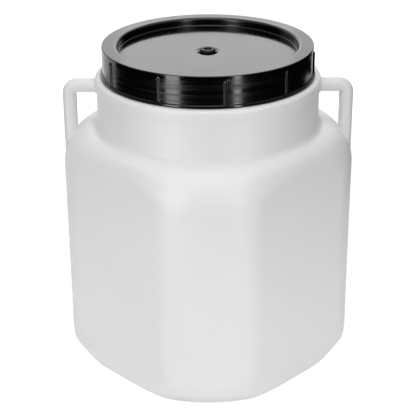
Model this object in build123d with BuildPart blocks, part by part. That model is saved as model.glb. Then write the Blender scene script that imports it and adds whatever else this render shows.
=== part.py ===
from build123d import *
import math
import os

os.makedirs("parts", exist_ok=True)

# Wide-neck fermentation drum with loop handles and a screw lid.
# Origin at the centre of the base, +Z up, handles on +X and -X. Lengths are in millimetres.

# Drum shell: a round wall with four flats cut in between its corners
drum_radius = 170.0
flat_depth = 21.0
flat_edge_round = 18.0
drum_wall = 2.8
base_thickness = 3.4

# Foot: the wall turns in to the base over a soft slope, and the flats lean in with it
foot_slope_width = 22.5
foot_slope_height = 28.0
foot_wall_round = 20.0
foot_base_round = 11.5
flat_foot_lean = 11.0
standing_width = 35.5
push_up_slope = 8.0
push_up_height = 3.0

# Shoulder and neck: these measure to where the straight lines would meet without their rounding
shoulder_height = 286.0
shoulder_width = 41.0
shoulder_rise = 10.0
shoulder_flat_length = 2.93
neck_root_round = 6.0
neck_length = 59.0

# Collar round the neck's top, under the lid
lip_reach = 1.5
lip_height = 7.0
lip_round = 4.0
lip_foot_round = 2.0
collar_inner_round = 2.0

# Threaded mouth above the collar
collar_ledge = 13.8
mouth_wall = 4.2
mouth_height = 31.4
mouth_root_round = 1.5
mouth_edge_round = 1.2

# Thread shared by the mouth and the lid
thread_pitch = 12.0
thread_turns = 1.5
thread_depth = 3.2
thread_root_width = 4.5
thread_crest_width = 2.5
thread_play = 0.6
thread_radial_gap = 0.6
thread_top_space = 6.0

# Screw lid
lid_wall = 2.6
lid_skirt_gap = 0.5
lid_edge_round = 1.2
lid_inner_round = 1.0
recess_mouth_gap = 4.9
recess_depth = 9.5
recess_edge_round = 6.0
recess_floor_round = 1.5
bead_reach = 2.4
bead_height = 3.0
bead_round = 1.0
rib_count = 10
rib_first_angle = -80.6
rib_width = 4.0
rib_reach = 1.2
rib_top_gap = 6.0
rib_edge_round = 0.6

# Seal ring between the mouth's rim and the lid
gasket_thickness = 2.0
gasket_side_gap = 0.3

# Rubber grommet in the middle of the lid
grommet_bore_radius = 4.75
grommet_waist_radius = 6.4
grommet_flange_radius = 8.6
grommet_top_height = 3.0
grommet_foot_height = 2.0
grommet_edge_round = 0.8
grommet_fit = 0.05

# Loop handles
handle_width = 16.0
handle_thickness = 15.0
handle_section_round = 6.0
handle_corner_round = 9.0
handle_inset = 1.0
handle_drop = 14.0

# How far a cut runs past the surface it meets, and how deep a ridge is rooted in its wall
overrun = 5.0
ridge_root = 0.8

# Heights, radii and angles that follow from the sizes above
flat_distance = drum_radius - flat_depth
base_radius = drum_radius - foot_slope_width
push_up_radius = base_radius - standing_width
neck_radius = drum_radius - shoulder_width
neck_foot_height = shoulder_height + shoulder_rise
shoulder_angle = math.atan2(shoulder_rise, shoulder_width)
shoulder_turn = math.pi / 2 - shoulder_angle
neck_root_length = neck_root_round * math.tan(shoulder_turn / 2)
shoulder_round_length = math.hypot(shoulder_width, shoulder_rise) - neck_root_length - shoulder_flat_length
shoulder_round = shoulder_round_length / math.tan(shoulder_turn / 2)
collar_top = neck_foot_height + neck_length
lip_foot = collar_top - lip_height
collar_foot = lip_foot - lip_foot_round
lip_radius = neck_radius + lip_reach
rim_top = collar_top + mouth_height
mouth_outer_radius = neck_radius - collar_ledge
mouth_radius = mouth_outer_radius - mouth_wall
skirt_inner_radius = mouth_outer_radius + thread_depth + thread_radial_gap
skirt_radius = skirt_inner_radius + lid_wall
bead_radius = skirt_radius + bead_reach
lid_inner_top = rim_top + gasket_thickness
lid_top = lid_inner_top + lid_wall
lid_bottom = collar_top + lid_skirt_gap
bead_top = lid_bottom + bead_height
recess_floor = lid_top - recess_depth
recess_underside = recess_floor - lid_wall
recess_outer_radius = mouth_radius - recess_mouth_gap
recess_radius = recess_outer_radius - lid_wall
channel_round = recess_edge_round - lid_wall
thread_rise = thread_pitch * thread_turns
mouth_thread_start = rim_top - thread_top_space - thread_rise
thread_offset = (thread_root_width + thread_crest_width) / 2 + thread_play
lid_thread_start = mouth_thread_start - thread_offset


def drum_form(inset, floor):
    """Solid of the drum up to the collar's foot, with its wall moved inwards by inset."""
    drop = inset * (math.tan(shoulder_angle) - 1 / math.cos(shoulder_angle))
    wall_radius = drum_radius - inset
    half = flat_distance - inset
    # The flats start to lean in at the height where the foot's rounding starts
    foot_turn = math.atan2(foot_slope_width, foot_slope_height - floor)
    foot_top = foot_slope_height + (foot_wall_round - inset) * math.tan(foot_turn / 2)
    lean_height = foot_top - floor
    lean_radius = (lean_height**2 + flat_foot_lean**2) / (2 * flat_foot_lean)
    lean_turn = math.degrees(math.asin((lean_height + overrun) / lean_radius))
    with BuildPart() as form:
        with BuildSketch(Plane.XZ):
            with BuildLine():
                outline = FilletPolyline(
                    (0, floor),
                    (wall_radius - foot_slope_width, floor),
                    (wall_radius, foot_slope_height),
                    (wall_radius, shoulder_height + drop),
                    (neck_radius - inset, neck_foot_height + drop),
                    (neck_radius - inset, collar_foot),
                    (0, collar_foot),
                    radius=(
                        foot_base_round - inset,
                        foot_wall_round - inset,
                        shoulder_round - inset,
                        neck_root_round + inset,
                        0,
                    ),
                )
                Line(outline @ 1, outline @ 0)
            make_face()
        revolve(axis=Axis.Z)
        # Two crossed slabs cut the four flats, each with its faces leaning in at the foot
        for turn in (1, -1):
            across = Plane(origin=(0, 0, 0), x_dir=(1, turn, 0), z_dir=(turn, -1, 0))
            with BuildSketch(across, mode=Mode.PRIVATE) as slab:
                with BuildLine():
                    left = JernArc((-half, foot_top), (0, -1), lean_radius, lean_turn)
                    right = JernArc((half, foot_top), (0, -1), lean_radius, -lean_turn)
                    Line(left @ 1, right @ 1)
                    Polyline(left @ 0, (-half, collar_foot), (half, collar_foot), right @ 0)
                make_face()
            extrude(slab.sketch, amount=drum_radius + overrun, both=True, mode=Mode.INTERSECT)
        # The four longest curved edges are the flats' arches, and their rounding runs all round
        arches = form.edges().filter_by(GeomType.BSPLINE).sort_by(SortBy.LENGTH)[-4:]
        fillet(arches, radius=flat_edge_round - inset)
    return form.part


def push_up(height):
    """Shallow cone that raises the middle of the base, standing at this height."""
    with BuildPart() as cone:
        with Locations((0, 0, height)):
            Cone(
                push_up_radius,
                push_up_radius - push_up_slope,
                push_up_height,
                align=(Align.CENTER, Align.CENTER, Align.MIN),
            )
    return cone.part


def thread_ridge(radius, start, outwards):
    """Helical ridge of the shared thread on a wall of this radius, outwards 1 or -1."""
    # The flanks run straight on into the wall, where the ridge is a little wider
    flank_slope = (thread_root_width - thread_crest_width) / (2 * thread_depth)
    buried_half_width = thread_root_width / 2 + ridge_root * flank_slope
    with BuildPart() as ridge:
        with BuildLine() as path:
            Helix(thread_pitch, thread_rise, radius, center=(0, 0, start))
        section = Plane(origin=path.line @ 0, x_dir=(outwards, 0, 0), z_dir=path.line % 0)
        with BuildSketch(section):
            with BuildLine():
                Polyline(
                    (-ridge_root, -buried_half_width),
                    (thread_depth, -thread_crest_width / 2),
                    (thread_depth, thread_crest_width / 2),
                    (-ridge_root, buried_half_width),
                    close=True,
                )
            make_face()
        sweep(path=path.line, is_frenet=True)
    return ridge.part


drum_solid = drum_form(0, 0)
drum_cavity = drum_form(drum_wall, base_thickness)

with BuildPart() as collar:
    with BuildSketch(Plane.XZ):
        with BuildLine():
            FilletPolyline(
                (neck_radius - drum_wall, collar_foot),
                (neck_radius, collar_foot),
                (neck_radius, lip_foot),
                (lip_radius, lip_foot + lip_reach),
                (lip_radius, collar_top),
                (mouth_outer_radius, collar_top),
                (mouth_outer_radius, rim_top),
                (mouth_radius, rim_top),
                (mouth_radius, collar_top - drum_wall),
                (neck_radius - drum_wall, collar_top - drum_wall),
                radius=(
                    0,
                    0,
                    lip_foot_round,
                    lip_foot_round,
                    lip_round,
                    mouth_root_round,
                    mouth_edge_round,
                    mouth_edge_round,
                    mouth_edge_round,
                    collar_inner_round,
                ),
                close=True,
            )
        make_face()
    revolve(axis=Axis.Z)

with BuildPart() as drum_shell:
    add(drum_solid)
    add(drum_cavity, mode=Mode.SUBTRACT)
    add(push_up(base_thickness))
    add(push_up(0), mode=Mode.SUBTRACT)
    add(collar.part)
    add(thread_ridge(mouth_outer_radius, mouth_thread_start, 1))

drum_shell.part.label = "drum_shell"
export_step(drum_shell.part, "parts/drum_shell.step")

# Each handle leaves the neck level, turns down and lands on the shoulder
for side, name in ((1, "right_handle"), (-1, "left_handle")):
    bar_height = collar_top - handle_drop
    bar_reach = side * (drum_radius - handle_inset - handle_width / 2)
    bar_start = side * (neck_radius - drum_wall / 2)
    with BuildPart() as handle:
        with BuildLine(Plane.XZ) as path:
            FilletPolyline(
                (bar_start, bar_height),
                (bar_reach, bar_height),
                (bar_reach, shoulder_height - shoulder_round),
                radius=handle_corner_round,
            )
        with BuildSketch(Plane(origin=(bar_start, 0, bar_height), x_dir=(0, 1, 0), z_dir=(side, 0, 0))):
            RectangleRounded(handle_thickness, handle_width, handle_section_round)
        sweep(path=path.line)
        add(drum_solid, mode=Mode.SUBTRACT)
        add(collar.part, mode=Mode.SUBTRACT)
    handle.part.label = name
    export_step(handle.part, f"parts/{name}.step")

# One grip rib, standing on the skirt at +X, for the lid to repeat
with BuildPart() as grip_rib:
    rib_shoulder = lid_top - rib_top_gap - rib_width / 2
    with BuildSketch(Plane.YZ.offset(skirt_radius - ridge_root)):
        with BuildLine():
            Polyline(
                (-rib_width / 2, rib_shoulder),
                (-rib_width / 2, bead_top),
                (rib_width / 2, bead_top),
                (rib_width / 2, rib_shoulder),
            )
            ThreePointArc(
                (rib_width / 2, rib_shoulder),
                (0, lid_top - rib_top_gap),
                (-rib_width / 2, rib_shoulder),
            )
        make_face()
    extrude(amount=rib_reach + ridge_root)
    fillet(grip_rib.faces().sort_by(Axis.X)[-1].edges(), radius=rib_edge_round)

with BuildPart() as screw_lid:
    with BuildSketch(Plane.XZ):
        with BuildLine():
            section = FilletPolyline(
                (0, recess_floor),
                (recess_radius, recess_floor),
                (recess_radius, lid_top),
                (skirt_radius, lid_top),
                (skirt_radius, bead_top),
                (bead_radius, bead_top),
                (bead_radius, lid_bottom),
                (skirt_inner_radius, lid_bottom),
                (skirt_inner_radius, lid_inner_top),
                (recess_outer_radius, lid_inner_top),
                (recess_outer_radius, recess_underside),
                (0, recess_underside),
                radius=(
                    recess_floor_round,
                    recess_edge_round,
                    lid_edge_round,
                    0,
                    bead_round,
                    bead_round,
                    0,
                    lid_inner_round,
                    channel_round,
                    recess_floor_round + lid_wall,
                ),
            )
            Line(section @ 1, section @ 0)
        make_face()
    revolve(axis=Axis.Z)
    add(thread_ridge(skirt_inner_radius, lid_thread_start, -1))
    with PolarLocations(0, rib_count, start_angle=rib_first_angle):
        add(grip_rib.part)
    with Locations((0, 0, recess_floor)):
        Hole(grommet_waist_radius + grommet_fit)

screw_lid.part.label = "screw_lid"
export_step(screw_lid.part, "parts/screw_lid.step")

with BuildPart() as lid_gasket:
    with BuildSketch(Plane.XY.offset(rim_top)):
        Circle(skirt_inner_radius - lid_inner_round - gasket_side_gap)
        Circle(recess_outer_radius + channel_round + gasket_side_gap, mode=Mode.SUBTRACT)
    extrude(amount=gasket_thickness)

lid_gasket.part.label = "lid_gasket"
export_step(lid_gasket.part, "parts/lid_gasket.step")

with BuildPart() as airlock_grommet:
    grommet_top = recess_floor + grommet_top_height
    grommet_foot = recess_underside - grommet_foot_height
    with BuildSketch(Plane.XZ):
        with BuildLine():
            FilletPolyline(
                (grommet_bore_radius, grommet_foot),
                (grommet_flange_radius, grommet_foot),
                (grommet_flange_radius, recess_underside),
                (grommet_waist_radius, recess_underside),
                (grommet_waist_radius, recess_floor),
                (grommet_flange_radius, recess_floor),
                (grommet_flange_radius, grommet_top),
                (grommet_bore_radius, grommet_top),
                radius=(0, grommet_edge_round, 0, 0, 0, 0, grommet_edge_round, 0),
                close=True,
            )
        make_face()
    revolve(axis=Axis.Z)

airlock_grommet.part.label = "airlock_grommet"
export_step(airlock_grommet.part, "parts/airlock_grommet.step")
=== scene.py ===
import math

import bmesh
import bpy
import numpy as np
from mathutils import Matrix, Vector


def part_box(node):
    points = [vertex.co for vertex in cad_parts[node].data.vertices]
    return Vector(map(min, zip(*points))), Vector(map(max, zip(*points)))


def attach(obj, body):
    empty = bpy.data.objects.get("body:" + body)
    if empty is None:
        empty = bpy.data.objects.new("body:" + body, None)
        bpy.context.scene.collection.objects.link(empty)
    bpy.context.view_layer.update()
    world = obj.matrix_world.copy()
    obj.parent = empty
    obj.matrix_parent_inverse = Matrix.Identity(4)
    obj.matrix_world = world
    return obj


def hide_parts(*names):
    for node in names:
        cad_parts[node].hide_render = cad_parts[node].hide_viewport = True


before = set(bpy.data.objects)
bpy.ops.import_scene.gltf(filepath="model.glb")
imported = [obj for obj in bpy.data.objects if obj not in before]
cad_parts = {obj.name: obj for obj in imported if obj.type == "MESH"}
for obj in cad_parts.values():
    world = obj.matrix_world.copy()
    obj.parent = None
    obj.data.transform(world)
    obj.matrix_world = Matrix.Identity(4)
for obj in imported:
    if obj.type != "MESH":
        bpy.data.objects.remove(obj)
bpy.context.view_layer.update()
print("frame loaded")

# All lengths are metres. The drum stands on z = 0, its handles lie on +X and -X.
drum = {
    "radius": 0.170,
    "flatDistance": 0.149,
    "flatEdgeRound": 0.090,
    "archRound": 0.016,
    "footEdgeRound": 0.018,
    "wall": 0.0028,
    "base": 0.0034,
    "footSlopeWidth": 0.0225,
    "footSlopeHeight": 0.028,
    "footWallRound": 0.020,
    "footBaseRound": 0.0115,
    "flatFootLean": 0.011,
    "flatFootHeight": 0.035,
    "pushUpRadius": 0.112,
    "pushUpSlope": 0.008,
    "pushUpHeight": 0.003,
    "pushUpRound": 0.006,
    "shoulderHeight": 0.286,
    "shoulderRound": 0.044,
    "neckFootHeight": 0.296,
    "neckRootRound": 0.0085,
    "neckRadius": 0.129,
    "collarTop": 0.355,
    "lipReach": 0.0015,
    "lipHeight": 0.007,
    "lipSlope": 0.010,
    "lipRound": 0.004,
    "lipFootRound": 0.030,
    "mouthRadius": 0.111,
    "mouthWall": 0.0042,
    "mouthEdgeRound": 0.0012,
    "mouthRootRound": 0.0015,
    "outerStep": 0.005,
    "innerStep": 0.010,
    "mouthRows": 64,
    "columns": 300,
}

thread = {
    "pitch": 0.012,
    "turns": 1.5,
    "depth": 0.0032,
    "rootWidth": 0.0045,
    "crestWidth": 0.0025,
    "play": 0.0006,
    "topSpace": 0.006,
    "fade": math.radians(18),
}

lid = {
    "wall": 0.0026,
    "skirtGap": 0.0005,
    "radialGap": 0.0006,
    "edgeRound": 0.0012,
    "recessRadius": 0.1035,
    "recessDepth": 0.0095,
    "recessEdgeRound": 0.006,
    "recessTopRound": 0.0035,
    "recessFloorRound": 0.0015,
    "beadReach": 0.0024,
    "beadHeight": 0.003,
    "beadRound": 0.001,
    "beadRootRound": 0.0008,
    "skirtFootRound": 0.0004,
    "channelRound": 0.001,
    "holeGap": 0.00005,
    "holeEdgeRound": 0.0004,
    "ribs": 10,
    "ribFirstAngle": math.radians(-80.6),
    "ribWidth": 0.0055,
    "ribReach": 0.0015,
    "ribTopGap": 0.005,
    "ribFlankShare": 0.45,
    "step": 0.0011,
    "holeMargin": 0.001,
    "recessMargin": 0.004,
    "flatRowStride": 9,
    "columns": 300,
    "ribColumns": 14,
    "ribColumnsShare": 1.3,
    "leastColumnGap": 5e-4,
}

handle = {
    "width": 0.016,
    "thickness": 0.015,
    "sectionRound": 0.0066,
    "cornerRound": 0.009,
    "inset": 0.001,
    "drop": 0.014,
    "neckRootRound": 0.004,
    "footRootRound": 0.0035,
    "rootSink": 0.0012,
    "rootMargin": 0.001,
    "arcPoints": 9,
    "rootRows": 9,
    "levelRows": 6,
    "bendRows": 17,
    "postRows": 14,
    "footRows": 13,
    "rowPower": 1.5,
}

grommet = {
    "boreRadius": 0.00475,
    "waistRadius": 0.0064,
    "flangeRadius": 0.0086,
    "topHeight": 0.003,
    "footHeight": 0.002,
    "edgeRound": 0.0008,
    "boreEdgeRound": 0.0012,
    "rootRound": 0.0002,
    "step": 0.0008,
    "columns": 96,
}

gasket = {
    "thickness": 0.002,
    "sideGap": 0.0003,
    "edgeRound": 0.0004,
    "step": 0.001,
    "columns": 240,
}

# Below these a length and a turn count as none
noLength = 1e-9
noTurn = 1e-4

# Heights and radii that follow from the values above
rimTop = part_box("drum_shell")[1][2]
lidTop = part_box("screw_lid")[1][2]
mouthOuter = drum["mouthRadius"] + drum["mouthWall"]
skirtInner = mouthOuter + thread["depth"] + lid["radialGap"]
skirtOuter = skirtInner + lid["wall"]
lidBottom = drum["collarTop"] + lid["skirtGap"]
lidInnerTop = rimTop + gasket["thickness"]
recessFloor = lidTop - lid["recessDepth"]
threadRise = thread["pitch"] * thread["turns"]
mouthThreadStart = rimTop - thread["topSpace"] - threadRise
lidThreadStart = mouthThreadStart - (thread["rootWidth"] + thread["crestWidth"]) / 2 - thread["play"]


def roundedProfile(corners, rounds, step):
    # Polyline with an arc in each corner: the arc touches both sides at round * tan(turn / 2)
    coarsest = math.radians(9)
    corners = np.array(corners, float)
    pieces = [corners[:1]]
    for here in range(1, len(corners) - 1):
        back = corners[here - 1] - corners[here]
        ahead = corners[here + 1] - corners[here]
        back /= np.hypot(*back)
        ahead /= np.hypot(*ahead)
        turn = math.pi - math.acos(np.clip(back @ ahead, -1, 1))
        size = rounds[here - 1]
        if size == 0 or turn < noTurn:
            pieces.append(corners[here][None])
            continue
        reach = size * math.tan(turn / 2)
        bisector = (back + ahead) / np.hypot(*(back + ahead))
        centre = corners[here] + bisector * size / math.cos(turn / 2)
        count = max(4, int(math.ceil(size * turn / step)) + 1, int(turn / coarsest))
        start = corners[here] + back * reach - centre
        side = np.sign(back[0] * ahead[1] - back[1] * ahead[0])
        angle = -side * np.linspace(0, turn, count)
        spin = np.stack([np.cos(angle), -np.sin(angle), np.sin(angle), np.cos(angle)], 1)
        pieces.append(centre + spin.reshape(-1, 2, 2) @ start)
    pieces.append(corners[-1:])
    line = np.concatenate(pieces)
    # Long straight stretches get points every step
    gaps = np.hypot(*np.diff(line, axis=0).T)
    dense = [np.linspace(line[k], line[k + 1], max(1, int(math.ceil(gaps[k] / step))), endpoint=False)
             for k in range(len(gaps)) if gaps[k] > noLength]
    return np.concatenate(dense + [line[-1:]])


def gridMesh(name, points, wrapRows=False):
    # points[row, column] is a grid that closes round its columns; a row at one point is a pole
    rows, columns = points.shape[:2]
    poles = [np.ptp(points[row], axis=0).max() < noLength for row in range(rows)]
    index = np.arange(rows * columns).reshape(rows, columns)
    for row in np.flatnonzero(poles):
        index[row] = index[row, 0]
    lower = index if wrapRows else index[:-1]
    upper = np.roll(index, -1, 0) if wrapRows else index[1:]
    quads = np.stack([lower, np.roll(lower, -1, 1), np.roll(upper, -1, 1), upper], -1).reshape(-1, 4)
    # A closed skin whose faces point inwards has a negative volume, and is turned
    first, second, third, fourth = points.reshape(-1, 3)[quads].transpose(1, 0, 2)
    if (first * (np.cross(second, third) + np.cross(third, fourth))).sum() < 0:
        quads = quads[:, ::-1]
    faces = [list(dict.fromkeys(quad)) for quad in quads.tolist()]
    faces = [face for face in faces if len(face) > 2]
    mesh = bpy.data.meshes.new(name)
    mesh.from_pydata(points.reshape(-1, 3).tolist(), [], faces)
    mesh.validate()
    work = bmesh.new()
    work.from_mesh(mesh)
    bmesh.ops.delete(work, geom=[v for v in work.verts if not v.link_faces], context="VERTS")
    work.to_mesh(mesh)
    work.free()
    mesh.polygons.foreach_set("use_smooth", np.ones(len(mesh.polygons), bool))
    mesh.update()
    piece = bpy.data.objects.new(name, mesh)
    bpy.context.scene.collection.objects.link(piece)
    return piece


def turned(profile, azimuth):
    # Surface of revolution: (r cos a, r sin a, z)
    radius = np.broadcast_to(profile[:, 0][:, None], (len(profile), len(azimuth)))
    height = np.broadcast_to(profile[:, 1][:, None], (len(profile), len(azimuth)))
    return np.stack([radius * np.cos(azimuth), radius * np.sin(azimuth), height], -1)


def evenAzimuth(columns):
    return np.linspace(0, 2 * math.pi, columns, endpoint=False)


def profileSlope(profile):
    # Cosine of the outward normal's elevation along a profile
    run = np.gradient(profile, axis=0)
    return np.abs(run[:, 1]) / np.maximum(np.hypot(run[:, 0], run[:, 1]), noLength)


def flattened(profile, azimuth, inset):
    # Radius of the round body cut by four leaning flats: Newton steps bring the smooth maximum of
    # the distances past the round surface and past the flat to zero
    steps = 12
    leastSlope = 0.08
    leastBlend = 1e-6
    levelSlope = 0.02
    radius = profile[:, 0][:, None]
    height = profile[:, 1][:, None]
    upright = profileSlope(profile)[:, None]
    quarter = math.pi / 2
    offAxis = np.mod(azimuth - math.pi / 4 + quarter / 2, quarter) - quarter / 2
    facing = np.cos(offAxis)[None]
    footHeight = drum["flatFootHeight"]
    leanRadius = (footHeight**2 + drum["flatFootLean"] ** 2) / (2 * drum["flatFootLean"])
    below = np.clip(footHeight - height, 0, footHeight)
    lean = leanRadius - np.sqrt(leanRadius**2 - below**2)
    distance = drum["flatDistance"] - inset - lean
    # The edges' rounding is small at the foot, limited at the arches and fades out from halfway
    # between flat and neck
    body = np.clip((radius - drum["neckRadius"]) / (drum["flatDistance"] - drum["neckRadius"]) * 2, 0, 1)
    lift = np.clip(height / footHeight - 1, 0, 1)
    edgeRound = drum["footEdgeRound"] + (drum["flatEdgeRound"] - drum["footEdgeRound"]) * lift
    limit = drum["archRound"] * (1 + upright**8)
    blend = np.minimum((edgeRound - inset) * (1 - upright * facing), limit)
    blend = np.maximum(blend * body * (height < drum["collarTop"] - drum["lipHeight"]), leastBlend)
    result = np.minimum(radius, distance / facing)
    for _ in range(steps):
        roundGap = (result - radius) * upright
        flatGap = result * facing - distance
        near = np.clip(0.5 + 0.5 * (flatGap - roundGap) / blend, 0, 1)
        gap = roundGap * (1 - near) + flatGap * near + blend * near * (1 - near)
        result = result - gap / np.maximum(upright * (1 - near) + facing * near, leastSlope)
    # The base's level rows are squeezed evenly inside the flats, so that none fold together
    level = (upright[:, 0] < levelSlope) & (profile[:, 0] > drum["pushUpRadius"])
    level = level & (profile[:, 1] < footHeight)
    if level.any():
        rows = profile[level, 0]
        share = (rows - rows.min()) / np.ptp(rows)
        result[level] = rows.min() + share[:, None] * (result[level][np.argmax(rows)] - rows.min())
    return np.where(radius > noLength, np.clip(result, 0, None), 0)


def threadHeight(azimuth, height, start):
    # Trapezoid ridge round z = start + pitch * turns, as a share of its depth, fading at both ends
    turn = np.mod(azimuth, 2 * math.pi)[None]
    whole = 2 * math.pi * thread["turns"]
    flank = (thread["rootWidth"] - thread["crestWidth"]) / 2
    ridge = np.zeros(np.broadcast_shapes(turn.shape, height.shape))
    for lap in range(int(math.ceil(thread["turns"]))):
        swept = turn + 2 * math.pi * lap
        centre = start + thread["pitch"] * swept / (2 * math.pi)
        away = np.abs(height - centre)
        shape = np.clip((thread["rootWidth"] / 2 - away) / flank, 0, 1)
        ends = np.clip(np.minimum(swept, whole - swept) / thread["fade"], 0, 1)
        ridge = np.maximum(ridge, shape * ends * ends * (3 - 2 * ends))
    return ridge


def drumOuterProfile():
    slopeFoot = drum["radius"] - drum["footSlopeWidth"]
    lipRadius = drum["neckRadius"] + drum["lipReach"]
    lipFoot = drum["collarTop"] - drum["lipHeight"]
    corners = [
        (0, drum["pushUpHeight"]),
        (drum["pushUpRadius"] - drum["pushUpSlope"], drum["pushUpHeight"]),
        (drum["pushUpRadius"], 0),
        (slopeFoot, 0),
        (drum["radius"], drum["footSlopeHeight"]),
        (drum["radius"], drum["shoulderHeight"]),
        (drum["neckRadius"], drum["neckFootHeight"]),
        (drum["neckRadius"], lipFoot - drum["lipSlope"]),
        (lipRadius, lipFoot),
        (lipRadius, drum["collarTop"]),
        (mouthOuter, drum["collarTop"]),
        (mouthOuter, rimTop),
        (drum["mouthRadius"], rimTop),
    ]
    rounds = [
        drum["pushUpRound"], drum["pushUpRound"], drum["footBaseRound"], drum["footWallRound"],
        drum["shoulderRound"], drum["neckRootRound"], drum["lipFootRound"], drum["lipFootRound"],
        drum["lipRound"], drum["mouthEdgeRound"], drum["mouthEdgeRound"],
    ]
    return roundedProfile(corners, rounds, drum["outerStep"])


def drumInnerProfile():
    wall = drum["wall"]
    slope = math.atan2(drum["neckFootHeight"] - drum["shoulderHeight"], drum["radius"] - drum["neckRadius"])
    drop = wall * (math.tan(slope) - 1 / math.cos(slope))
    raised = drum["base"] + drum["pushUpHeight"]
    corners = [
        (drum["mouthRadius"], rimTop),
        (drum["mouthRadius"], drum["collarTop"] - wall),
        (drum["neckRadius"] - wall, drum["collarTop"] - wall),
        (drum["neckRadius"] - wall, drum["neckFootHeight"] + drop),
        (drum["radius"] - wall, drum["shoulderHeight"] + drop),
        (drum["radius"] - wall, drum["footSlopeHeight"]),
        (drum["radius"] - wall - drum["footSlopeWidth"], drum["base"]),
        (drum["pushUpRadius"], drum["base"]),
        (drum["pushUpRadius"] - drum["pushUpSlope"], raised),
        (0, raised),
    ]
    rounds = [
        drum["mouthEdgeRound"], drum["mouthRootRound"], drum["neckRootRound"] + wall,
        drum["shoulderRound"] - wall, drum["footWallRound"] - wall, drum["footBaseRound"] - wall,
        drum["pushUpRound"], drum["pushUpRound"],
    ]
    return roundedProfile(corners, rounds, drum["innerStep"])


def makeDrumShell():
    # One closed skin: under the base, up the outside, over the rim and down the inside
    azimuth = evenAzimuth(drum["columns"])
    touching = 1e-6
    outer = drumOuterProfile()
    mouth = (np.abs(outer[:, 0] - mouthOuter) < touching) & (outer[:, 1] > drum["collarTop"])
    first, last = np.flatnonzero(mouth)[[0, -1]]
    wallHeights = np.linspace(outer[first, 1], outer[last, 1], drum["mouthRows"])
    wall = np.stack([np.full_like(wallHeights, mouthOuter), wallHeights], 1)
    outer = np.concatenate([outer[:first], wall, outer[last + 1:]])
    inner = drumInnerProfile()[1:]
    outerRadius = flattened(outer, azimuth, 0)
    onWall = (np.abs(outer[:, 0] - mouthOuter) < touching)[:, None]
    ridge = threadHeight(azimuth, outer[:, 1][:, None], mouthThreadStart) * thread["depth"]
    outerRadius = outerRadius + np.where(onWall, ridge, 0)
    radius = np.concatenate([outerRadius, flattened(inner, azimuth, drum["wall"])])
    height = np.concatenate([outer[:, 1], inner[:, 1]])[:, None] + 0 * radius
    points = np.stack([radius * np.cos(azimuth), radius * np.sin(azimuth), height], -1)
    return gridMesh("drumShell", points)


def shoulderHeightAt(radius):
    # Height of the drum's outside over a radius between neck and wall, which is read a little
    # past the ends of the shoulder's and the neck root's arcs
    arcShare = 1.2
    outer = drumOuterProfile()
    above = outer[:, 1] > drum["shoulderHeight"] - drum["shoulderRound"] * arcShare
    below = outer[:, 1] < drum["neckFootHeight"] + drum["neckRootRound"]
    part = outer[above & below][::-1]
    return np.interp(radius, part[:, 0], part[:, 1])


def makeHandle(name, side):
    # A rounded bar along an L, whose two roots flare on to the neck and the shoulder
    halfWidth = handle["width"] / 2
    halfThick = handle["thickness"] / 2
    corner = handle["sectionRound"]
    around = []
    for signAcross, signUp, first in ((1, 1, 0), (-1, 1, 90), (-1, -1, 180), (1, -1, 270)):
        angle = np.radians(first + np.linspace(0, 90, handle["arcPoints"]))
        across = signAcross * (halfThick - corner) + corner * np.cos(angle)
        up = signUp * (halfWidth - corner) + corner * np.sin(angle)
        around.append(np.stack([across, up], 1))
    section = np.concatenate(around)
    sectionNormal = section / np.hypot(*section.T)[:, None]
    reach = drum["radius"] - handle["inset"] - halfWidth
    level = drum["collarTop"] - handle["drop"]
    bend = handle["cornerRound"]
    power = handle["rowPower"]
    across = section[:, 0]
    offset = section[:, 1]

    rings = []
    # Level stretch: from the neck outwards, the section's second axis points up
    neckRoot = handle["neckRootRound"]
    growing = np.linspace(0, 1, handle["rootRows"]) ** power * neckRoot
    for length in np.concatenate([[-handle["rootSink"]], growing]):
        left = neckRoot - max(length, 0)
        flare = neckRoot - math.sqrt(neckRoot**2 - left**2)
        wide = section + sectionNormal * flare
        x = np.sqrt(drum["neckRadius"] ** 2 - wide[:, 0] ** 2) + length
        rings.append(np.stack([x, wide[:, 0], level + wide[:, 1]], 1))
    start = drum["neckRadius"] + neckRoot + handle["rootMargin"]
    for x in np.linspace(start, reach - bend, handle["levelRows"]):
        rings.append(np.stack([np.full_like(across, x), across, level + offset], 1))
    # Bend: a quarter turn about a centre below and inside the bar
    for angle in np.linspace(0, math.pi / 2, handle["bendRows"])[1:]:
        away = bend + offset
        rings.append(np.stack([reach - bend + away * math.sin(angle), across,
                               level - bend + away * math.cos(angle)], 1))
    # Upright stretch: the section's second axis now points outwards
    top = level - bend
    footRoot = handle["footRootRound"]
    landing = shoulderHeightAt(np.hypot(reach + offset, across))
    for share in np.linspace(0, 1, handle["postRows"])[1:]:
        z = top + (landing + footRoot - top) * share
        rings.append(np.stack([reach + offset, across, z], 1))
    # The foot flares inwards and sideways, and its outer face stays flush
    inward = (1 - sectionNormal[:, 1:]) / 2
    for length in np.linspace(1, 0, handle["footRows"])[1:] ** power * footRoot:
        left = footRoot - length
        flare = footRoot - math.sqrt(footRoot**2 - left**2)
        wide = section + sectionNormal * inward * flare
        ground = shoulderHeightAt(np.hypot(reach + wide[:, 1], wide[:, 0]))
        rings.append(np.stack([reach + wide[:, 1], wide[:, 0], ground + length], 1))
    foot = rings[-1].copy()
    foot[:, 2] -= handle["rootSink"]
    rings.append(foot)
    # Both ends close in a pole
    points = np.array(rings)
    points = np.concatenate([points[:1].mean(1, keepdims=True) + 0 * points[:1], points,
                             points[-1:].mean(1, keepdims=True) + 0 * points[-1:]])
    points[..., 0] *= side
    return gridMesh(name, points)


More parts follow.
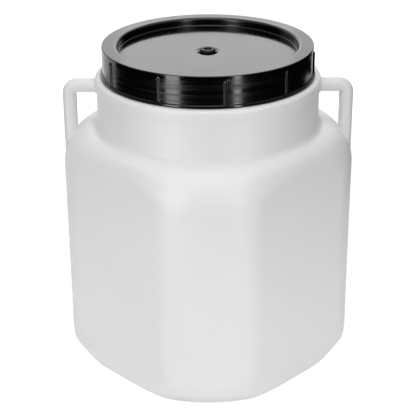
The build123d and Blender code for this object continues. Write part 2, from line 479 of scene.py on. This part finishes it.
def ribColumnsAzimuth():
    # Even columns, with closer ones across each grip rib
    half = lid["ribColumnsShare"] * lid["ribWidth"] / 2 / skirtOuter
    centres = lid["ribFirstAngle"] + np.arange(lid["ribs"]) * 2 * math.pi / lid["ribs"]
    close = (centres[:, None] + np.linspace(-half, half, lid["ribColumns"])[None]).ravel()
    azimuth = np.concatenate([evenAzimuth(lid["columns"]), np.mod(close, 2 * math.pi)])
    azimuth = np.unique(np.round(azimuth, 7))
    apart = np.diff(azimuth, prepend=azimuth[-1] - 2 * math.pi)
    return azimuth[apart > lid["leastColumnGap"]]


def ribHeight(azimuth, height):
    # Upright rib with a rounded back and a rounded head, as a share of its reach
    step = 2 * math.pi / lid["ribs"]
    off = (np.mod(azimuth - lid["ribFirstAngle"] + step / 2, step) - step / 2)[None] * skirtOuter
    half = lid["ribWidth"] / 2
    headCentre = lidTop - lid["ribTopGap"] - half
    rise = np.maximum(height - headCentre, 0)
    away = np.sqrt(off**2 + rise**2) / half
    return np.sqrt(np.clip((1 - away) / lid["ribFlankShare"], 0, 1))


def makeScrewLid():
    # Closed skin of the lid: top face, skirt, thread side, channel over the rim and underside
    bead = skirtOuter + lid["beadReach"]
    beadTop = lidBottom + lid["beadHeight"]
    channel = lid["recessRadius"] + lid["wall"]
    underside = recessFloor - lid["wall"]
    hole = grommet["waistRadius"] + lid["holeGap"]
    corners = [
        (hole, recessFloor),
        (lid["recessRadius"], recessFloor),
        (lid["recessRadius"], lidTop),
        (skirtOuter, lidTop),
        (skirtOuter, beadTop),
        (bead, beadTop),
        (bead, lidBottom),
        (skirtInner, lidBottom),
        (skirtInner, lidInnerTop),
        (channel, lidInnerTop),
        (channel, underside),
        (hole, underside),
        (hole, recessFloor),
    ]
    rounds = [
        lid["recessFloorRound"], lid["recessTopRound"], lid["edgeRound"], lid["beadRootRound"],
        lid["beadRound"], lid["beadRound"], lid["skirtFootRound"], lid["channelRound"],
        lid["recessEdgeRound"] - lid["wall"], lid["recessFloorRound"] + lid["wall"], lid["holeEdgeRound"],
    ]
    profile = roundedProfile(corners, rounds, lid["step"])[:-1]
    # The wide flat faces need few rows, away from the hole and the recess corner
    flatFace = profile[:, 0] > hole + lid["holeMargin"]
    flatFace = flatFace & (profile[:, 0] < lid["recessRadius"] - lid["recessMargin"])
    keep = ~flatFace | (np.arange(len(profile)) % lid["flatRowStride"] == 0)
    profile = profile[keep]
    azimuth = ribColumnsAzimuth()
    points = turned(profile, azimuth)
    height = profile[:, 1][:, None]
    touching = 2e-5
    onSkirt = (np.abs(profile[:, 0] - skirtOuter) < touching)[:, None]
    onThread = (np.abs(profile[:, 0] - skirtInner) < touching)[:, None]
    onThread = onThread & (height < lidInnerTop - lid["channelRound"])
    change = np.where(onSkirt, ribHeight(azimuth, height) * lid["ribReach"], 0)
    change = change - np.where(onThread, threadHeight(azimuth, height, lidThreadStart) * thread["depth"], 0)
    points[..., 0] += change * np.cos(azimuth)
    points[..., 1] += change * np.sin(azimuth)
    return gridMesh("screwLid", points, wrapRows=True)


def makeAirlockGrommet():
    # Flanged bush: a rounded flange over and under the lid's floor
    top = recessFloor + grommet["topHeight"]
    underside = recessFloor - lid["wall"]
    foot = underside - grommet["footHeight"]
    bore = grommet["boreRadius"]
    waist = grommet["waistRadius"]
    flange = grommet["flangeRadius"]
    corners = [
        (bore, (top + foot) / 2),
        (bore, foot),
        (flange, foot),
        (flange, underside),
        (waist, underside),
        (waist, recessFloor),
        (flange, recessFloor),
        (flange, top),
        (bore, top),
        (bore, (top + foot) / 2),
    ]
    edge = grommet["edgeRound"]
    rounds = [edge, edge, *[grommet["rootRound"]] * 4, edge, grommet["boreEdgeRound"]]
    profile = roundedProfile(corners, rounds, grommet["step"])[:-1]
    return gridMesh("airlockGrommet", turned(profile, evenAzimuth(grommet["columns"])), wrapRows=True)


def makeLidGasket():
    # Flat seal ring with softly broken edges, clear of the rounded corners of the lid's channel
    outer = skirtInner - lid["channelRound"] - gasket["sideGap"]
    inner = lid["recessRadius"] + lid["recessEdgeRound"] + gasket["sideGap"]
    middle = (inner + outer) / 2
    corners = [(middle, rimTop), (outer, rimTop), (outer, lidInnerTop), (inner, lidInnerTop),
               (inner, rimTop), (middle, rimTop)]
    profile = roundedProfile(corners, [gasket["edgeRound"]] * 4, gasket["step"])[:-1]
    return gridMesh("lidGasket", turned(profile, evenAzimuth(gasket["columns"])), wrapRows=True)


def newMaterial(name):
    material = bpy.data.materials.new(name)
    material.use_nodes = True
    nodes = material.node_tree.nodes
    nodes.clear()
    output = nodes.new("ShaderNodeOutputMaterial")
    shader = nodes.new("ShaderNodeBsdfPrincipled")
    place = nodes.new("ShaderNodeTexCoord")
    material.node_tree.links.new(shader.outputs["BSDF"], output.inputs["Surface"])
    return material, shader, place


def addNoise(material, place, scale, detail=3, stretch=(1, 1, 1)):
    tree = material.node_tree
    mapping = tree.nodes.new("ShaderNodeMapping")
    mapping.inputs["Scale"].default_value = stretch
    noise = tree.nodes.new("ShaderNodeTexNoise")
    noise.inputs["Scale"].default_value = scale
    noise.inputs["Detail"].default_value = detail
    tree.links.new(place.outputs["Object"], mapping.inputs["Vector"])
    tree.links.new(mapping.outputs["Vector"], noise.inputs["Vector"])
    return noise.outputs["Fac"]


def addRange(material, value, low, high):
    ranged = material.node_tree.nodes.new("ShaderNodeMapRange")
    ranged.inputs["From Min"].default_value = 0.3
    ranged.inputs["From Max"].default_value = 0.7
    ranged.inputs["To Min"].default_value = low
    ranged.inputs["To Max"].default_value = high
    material.node_tree.links.new(value, ranged.inputs["Value"])
    return ranged.outputs["Result"]


def addMath(material, operation, first, second=None):
    node = material.node_tree.nodes.new("ShaderNodeMath")
    node.operation = operation
    for socket, value in zip(node.inputs, (first, second)):
        if isinstance(value, (int, float)):
            socket.default_value = value
        elif value is not None:
            material.node_tree.links.new(value, socket)
    return node.outputs["Value"]


def addTint(material, value, low, high):
    # Colour between two greys or tints by a value of 0 to 1
    mix = material.node_tree.nodes.new("ShaderNodeMix")
    mix.data_type = "RGBA"
    mix.inputs["A"].default_value = (*low, 1)
    mix.inputs["B"].default_value = (*high, 1)
    material.node_tree.links.new(value, mix.inputs["Factor"])
    return mix.outputs["Result"]


def addBump(material, shader, heights):
    # A chain of bumps: each entry is a height, its strength and its distance in metres
    tree = material.node_tree
    normal = None
    for height, strength, distance in heights:
        bump = tree.nodes.new("ShaderNodeBump")
        bump.inputs["Strength"].default_value = strength
        bump.inputs["Distance"].default_value = distance
        tree.links.new(height, bump.inputs["Height"])
        if normal is not None:
            tree.links.new(normal, bump.inputs["Normal"])
        normal = bump.outputs["Normal"]
    tree.links.new(normal, shader.inputs["Normal"])


def milkyPlastic(name, shade):
    # White blow-moulded plastic: slightly milky, satin, with a parting line in the handles' plane; a shade
    # below 1 darkens the colour as painted shade
    values = {
        "colour": (shade * 0.848,) * 3,
        "deepColour": (shade * 0.830,) * 3,
        "cloudScale": 9,
        "roughness": (0.40, 0.50),
        "polishScale": 40,
        "specular": 0.5,
        "subsurface": 0.3,
        "depth": 0.004,
        "waveScale": 26,
        "waveStretch": (1, 1, 0.45),
        "waveBump": (0.10, 0.0010),
        "grainScale": 900,
        "grainBump": (0.10, 0.0001),
        "seamWidth": 0.0006,
        "seamBump": (0.8, 0.00015),
    }
    material, shader, place = newMaterial(name)
    tree = material.node_tree
    cloud = addNoise(material, place, values["cloudScale"], 2)
    polish = addNoise(material, place, values["polishScale"], 3)
    wave = addNoise(material, place, values["waveScale"], 1, values["waveStretch"])
    grain = addNoise(material, place, values["grainScale"], 2)
    tint = addTint(material, addRange(material, cloud, 0, 1), values["deepColour"], values["colour"])
    tree.links.new(tint, shader.inputs["Base Color"])
    tree.links.new(addRange(material, polish, *values["roughness"]), shader.inputs["Roughness"])
    shader.inputs["Subsurface Weight"].default_value = values["subsurface"]
    shader.inputs["Subsurface Radius"].default_value = (values["depth"],) * 3
    shader.inputs["Subsurface Scale"].default_value = 1.0
    shader.inputs["Specular IOR Level"].default_value = values["specular"]
    split = tree.nodes.new("ShaderNodeSeparateXYZ")
    tree.links.new(place.outputs["Object"], split.inputs["Vector"])
    # The parting line is a ridge of height max(0, 1 - |y| / width)
    away = addMath(material, "ABSOLUTE", split.outputs["Y"])
    away = addMath(material, "DIVIDE", away, values["seamWidth"])
    seam = addMath(material, "MAXIMUM", addMath(material, "SUBTRACT", 1.0, away), 0.0)
    addBump(material, shader, [(wave, *values["waveBump"]), (grain, *values["grainBump"]),
                               (seam, *values["seamBump"])])
    return material


def blackGloss():
    # Glossy black moulding with fine lines round the skirt
    values = {
        "colour": (0.0015, 0.0015, 0.0017),
        "roughness": (0.08, 0.28),
        "specular": 0.35,
        "lineScale": 60,
        "lineStretch": (0.06, 0.06, 4),
        "lineBump": (0.25, 0.0003),
    }
    material, shader, place = newMaterial("blackGloss")
    tree = material.node_tree
    lines = addNoise(material, place, values["lineScale"], 3, values["lineStretch"])
    shader.inputs["Base Color"].default_value = (*values["colour"], 1)
    tree.links.new(addRange(material, lines, *values["roughness"]), shader.inputs["Roughness"])
    shader.inputs["Specular IOR Level"].default_value = values["specular"]
    addBump(material, shader, [(lines, *values["lineBump"])])
    return material


def blackSatin():
    # The lid's level faces: the same black without the lines, with a faint grain
    values = {
        "colour": (0.0015, 0.0015, 0.0017),
        "roughness": (0.10, 0.13),
        "specular": 0.35,
        "cloudScale": 30,
        "grainScale": 1400,
        "grainBump": (0.06, 0.00005),
    }
    material, shader, place = newMaterial("blackSatin")
    tree = material.node_tree
    grain = addNoise(material, place, values["grainScale"], 2)
    cloud = addNoise(material, place, values["cloudScale"], 3)
    shader.inputs["Base Color"].default_value = (*values["colour"], 1)
    tree.links.new(addRange(material, cloud, *values["roughness"]), shader.inputs["Roughness"])
    shader.inputs["Specular IOR Level"].default_value = values["specular"]
    addBump(material, shader, [(grain, *values["grainBump"])])
    return material


def softRubber(name, colour, roughness):
    # Matt rubber with a fine grain, and painted shade that darkens the grain's hollows
    values = {"deepShade": 0.85, "grainScale": 1800, "grainBump": (0.15, 0.00008), "cloudScale": 220}
    material, shader, place = newMaterial(name)
    tree = material.node_tree
    grain = addNoise(material, place, values["grainScale"], 3)
    cloud = addNoise(material, place, values["cloudScale"], 3)
    deepColour = [values["deepShade"] * channel for channel in colour]
    tint = addTint(material, addRange(material, grain, 0, 1), deepColour, colour)
    tree.links.new(tint, shader.inputs["Base Color"])
    tree.links.new(addRange(material, cloud, *roughness), shader.inputs["Roughness"])
    addBump(material, shader, [(grain, *values["grainBump"])])
    return material


def dress(piece, body, nodes, materials):
    for material in materials:
        piece.data.materials.append(material)
    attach(piece, body)
    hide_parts(*nodes)


def levelFacesToSecond(piece, lowest):
    # Faces above a height that look nearly straight up take the piece's second material
    leastUp = 0.93
    mesh = piece.data
    normals = np.empty(len(mesh.polygons) * 3)
    centres = np.empty(len(mesh.polygons) * 3)
    mesh.polygons.foreach_get("normal", normals)
    mesh.polygons.foreach_get("center", centres)
    level = (normals.reshape(-1, 3)[:, 2] > leastUp) & (centres.reshape(-1, 3)[:, 2] > lowest)
    mesh.polygons.foreach_set("material_index", level.astype(int))


drumShell = makeDrumShell()
dress(drumShell, "drum", ["drum_shell"], [milkyPlastic("milkyPlastic", 1)])
handlePlasticPaintedShade = milkyPlastic("handlePlasticPaintedShade", 0.93)  # a darker copy of the same plastic: painted shade on the handle bars
for side, word in ((1, "right"), (-1, "left")):
    bar = makeHandle(f"{word}Handle", side)
    dress(bar, "drum", [f"{word}_handle"], [handlePlasticPaintedShade])
print("drum made")

screwLid = makeScrewLid()
dress(screwLid, "lid", ["screw_lid"], [blackGloss(), blackSatin()])
levelFacesToSecond(screwLid, recessFloor - lid["wall"] / 2)
airlockGrommet = makeAirlockGrommet()
dress(airlockGrommet, "lid", ["airlock_grommet"],
      [softRubber("blackRubber", (0.02, 0.02, 0.02), (0.45, 0.6))])
lidGasket = makeLidGasket()
dress(lidGasket, "seal", ["lid_gasket"],
      [softRubber("sealRubber", (0.62, 0.62, 0.60), (0.6, 0.75))])
print("lid made")


def rayShare(tree):
    # 1 for camera, glossy and transmission rays, which see the plain white background
    path = tree.nodes.new("ShaderNodeLightPath")
    share = path.outputs["Is Camera Ray"]
    for name in ("Is Glossy Ray", "Is Transmission Ray"):
        either = tree.nodes.new("ShaderNodeMath")
        either.operation = "MAXIMUM"
        tree.links.new(share, either.inputs[0])
        tree.links.new(path.outputs[name], either.inputs[1])
        share = either.outputs["Value"]
    return share


def byRay(tree, forLight, forSight):
    # One number for light that bounces, another for what the camera and reflections see
    ranged = tree.nodes.new("ShaderNodeMapRange")
    for socket, value in (("To Min", forLight), ("To Max", forSight)):
        if isinstance(value, (int, float)):
            ranged.inputs[socket].default_value = value
        else:
            tree.links.new(value, ranged.inputs[socket])
    tree.links.new(rayShare(tree), ranged.inputs["Value"])
    return ranged.outputs["Result"]


def stageSheet(name, points, faces, material):
    mesh = bpy.data.meshes.new(name)
    mesh.from_pydata(points, [], faces)
    mesh.materials.append(material)
    sheet = bpy.data.objects.new(name, mesh)
    bpy.context.scene.collection.objects.link(sheet)
    return sheet


def makeStudio():
    light = {
        "ambient": 0.16,
        "mirroredBackdrop": 0.8,
        "floorSize": 9,
        "floorSink": 0.0002,
        "floorColour": 0.85,
        "floorFarColour": 0.15,
        "paintedLightPoolEdge": (0.45, 1.2),
        "floorSeenColour": 0.25,
        "floorGlow": 0.93,
    }
    world = bpy.context.scene.world or bpy.data.worlds.new("studio")
    bpy.context.scene.world = world
    world.use_nodes = True
    tree = world.node_tree
    tree.nodes.clear()
    output = tree.nodes.new("ShaderNodeOutputWorld")
    back = tree.nodes.new("ShaderNodeBackground")
    back.inputs["Color"].default_value = (1, 1, 1, 1)
    # The camera sees pure white, reflections a little less
    path = tree.nodes.new("ShaderNodeLightPath")
    seen = tree.nodes.new("ShaderNodeMapRange")
    seen.inputs["To Min"].default_value = light["mirroredBackdrop"]
    seen.inputs["To Max"].default_value = 1.0
    tree.links.new(path.outputs["Is Camera Ray"], seen.inputs["Value"])
    tree.links.new(byRay(tree, light["ambient"], seen.outputs["Result"]), back.inputs["Strength"])
    tree.links.new(back.outputs["Background"], output.inputs["Surface"])

    # The floor is nearly white by itself where it is seen, and keeps a soft shadow
    material = bpy.data.materials.new("paleFloor")
    material.use_nodes = True
    tree = material.node_tree
    tree.nodes.clear()
    output = tree.nodes.new("ShaderNodeOutputMaterial")
    diffuse = tree.nodes.new("ShaderNodeBsdfDiffuse")
    place = tree.nodes.new("ShaderNodeTexCoord")
    # Painted light: for bounced light the floor is bright within the first radius and fades to dark grey
    # beyond the second, a painted pool of light
    away = tree.nodes.new("ShaderNodeVectorMath")
    away.operation = "LENGTH"
    paintedLightPool = tree.nodes.new("ShaderNodeMapRange")
    paintedLightPool.inputs["From Min"].default_value, paintedLightPool.inputs["From Max"].default_value = light["paintedLightPoolEdge"]
    paintedLightPool.inputs["To Min"].default_value = light["floorColour"]
    paintedLightPool.inputs["To Max"].default_value = light["floorFarColour"]
    tree.links.new(place.outputs["Object"], away.inputs[0])
    tree.links.new(away.outputs["Value"], paintedLightPool.inputs["Value"])
    tree.links.new(byRay(tree, paintedLightPool.outputs["Result"], light["floorSeenColour"]), diffuse.inputs["Color"])
    glow = tree.nodes.new("ShaderNodeEmission")
    tree.links.new(byRay(tree, 0, light["floorGlow"]), glow.inputs["Strength"])
    both = tree.nodes.new("ShaderNodeAddShader")
    tree.links.new(diffuse.outputs["BSDF"], both.inputs[0])
    tree.links.new(glow.outputs["Emission"], both.inputs[1])
    tree.links.new(both.outputs["Shader"], output.inputs["Surface"])
    half = light["floorSize"] / 2
    sink = -light["floorSink"]
    corners = [(-half, -half, sink), (half, -half, sink), (half, half, sink), (-half, half, sink)]
    stageSheet("floor", corners, [(0, 1, 2, 3)], material)


def makeBlackCove():
    # Black cloth that lies on the floor round the front and stands up behind: only reflections see it,
    # and it keeps the lid's skirt dark. Rows follow its profile, columns its azimuth from the camera's side.
    cove = {
        "azimuth": (-112, 147),
        "radius": (0.62, 3.4),
        "lift": 0.001,
        "height": 2.4,
        "columns": 28,
        "shade": 0.004,
    }
    near, far = cove["radius"]
    profile = np.array([(near, cove["lift"]), (far, cove["lift"]), (far, cove["height"])])
    turn = np.radians(np.linspace(*cove["azimuth"], cove["columns"]))
    points = np.stack([profile[:, :1] * np.sin(turn), -profile[:, :1] * np.cos(turn),
                       profile[:, 1:] + 0 * turn], -1)
    index = np.arange(points.shape[0] * points.shape[1]).reshape(points.shape[:2])
    quads = np.stack([index[:-1, :-1], index[:-1, 1:], index[1:, 1:], index[1:, :-1]], -1).reshape(-1, 4)
    black = bpy.data.materials.new("blackCloth")
    black.use_nodes = True
    shader = black.node_tree.nodes["Principled BSDF"]
    shader.inputs["Base Color"].default_value = (*(cove["shade"],) * 3, 1)
    shader.inputs["Specular IOR Level"].default_value = 0
    cloth = stageSheet("blackCove", points.reshape(-1, 3).tolist(), quads.tolist(), black)
    cloth.visible_camera = False
    cloth.visible_diffuse = False
    cloth.visible_shadow = False
    cloth.visible_transmission = False


lamps = [
    # name, azimuth from the camera's side, distance, height, (width, height), radiance, height it is
    # turned to on the axis, whether it lights surfaces, whether it shines in glossy ones
    ("topBox", 0, 0.10, 1.70, (1.0, 1.0), 3.0, 0.30, True, True),
    ("topFrontBox", 0, 0.60, 1.70, (1.0, 0.8), 2.65, 0.30, True, False),
    ("frontBox", 0, 1.30, 0.90, (0.9, 0.9), 0.5, 0.25, True, False),
    ("frontLowBox", 0, 1.00, 0.12, (0.9, 0.25), 1.2, 0.15, True, False),
    ("leftLowBox", -48, 0.75, 0.02, (0.9, 0.5), 2.8, 0.60, True, False),
    ("rightLowBox", 40, 0.70, 0.08, (0.4, 0.25), 3.3, 0.12, True, False),
    ("backBox", 180, 1.60, 1.00, (1.8, 1.1), 0.88, 0.35, True, True),
    ("backMiddleBox", 180, 1.45, 1.142, (0.42, 0.7), 0.52, 0.35, False, True),
    ("backFillBox", 180, 1.30, 0.55, (1.4, 0.8), 1.6, 0.25, True, False),
    ("leftStrip", -35, 0.80, 0.55, (0.20, 1.05), 7.8, 0.50, False, True),
    ("rightStrip", 29, 0.80, 0.55, (0.10, 1.05), 8.2, 0.50, False, True),
]


def addLamp(name, azimuth, distance, height, size, radiance, aim, lights, shines):
    lamp = bpy.data.lights.new(name, "AREA")
    lamp.shape = "RECTANGLE"
    lamp.size, lamp.size_y = size
    lamp.energy = radiance * math.pi * size[0] * size[1]
    lampObject = bpy.data.objects.new(name, lamp)
    bpy.context.scene.collection.objects.link(lampObject)
    turn = math.radians(azimuth)
    place = Matrix.Translation((distance * math.sin(turn), -distance * math.cos(turn), height))
    down = math.atan2(distance, height - aim)
    lampObject.matrix_world = place @ Matrix.Rotation(turn, 4, "Z") @ Matrix.Rotation(down, 4, "X")
    lampObject.visible_camera = False
    lampObject.visible_diffuse = lights
    lampObject.visible_glossy = shines


makeStudio()
makeBlackCove()
for lamp in lamps:
    addLamp(*lamp)
print("studio made")


def makeCamera():
    view = {
        "distance": 1.3872,
        "height": 0.8138,
        "pitch": 0.4265,
        "roll": -0.0052,
        "photoPixels": 416,
        "focalPixels": 1256.0,
        "axisPixel": 208.53,
        "sensor": 36.0,
    }
    data = bpy.data.cameras.new("camera")
    data.sensor_width = view["sensor"]
    data.lens = view["focalPixels"] / view["photoPixels"] * view["sensor"]
    data.shift_x = (view["photoPixels"] / 2 - view["axisPixel"]) / view["photoPixels"]
    camera = bpy.data.objects.new("camera", data)
    bpy.context.scene.collection.objects.link(camera)
    camera.matrix_world = (
        Matrix.Translation((0, -view["distance"], view["height"]))
        @ Matrix.Rotation(math.pi / 2 - view["pitch"], 4, "X")
        @ Matrix.Rotation(view["roll"], 4, "Z")
    )
    bpy.context.scene.camera = camera


makeCamera()
bpy.context.scene.view_settings.view_transform = "Standard"
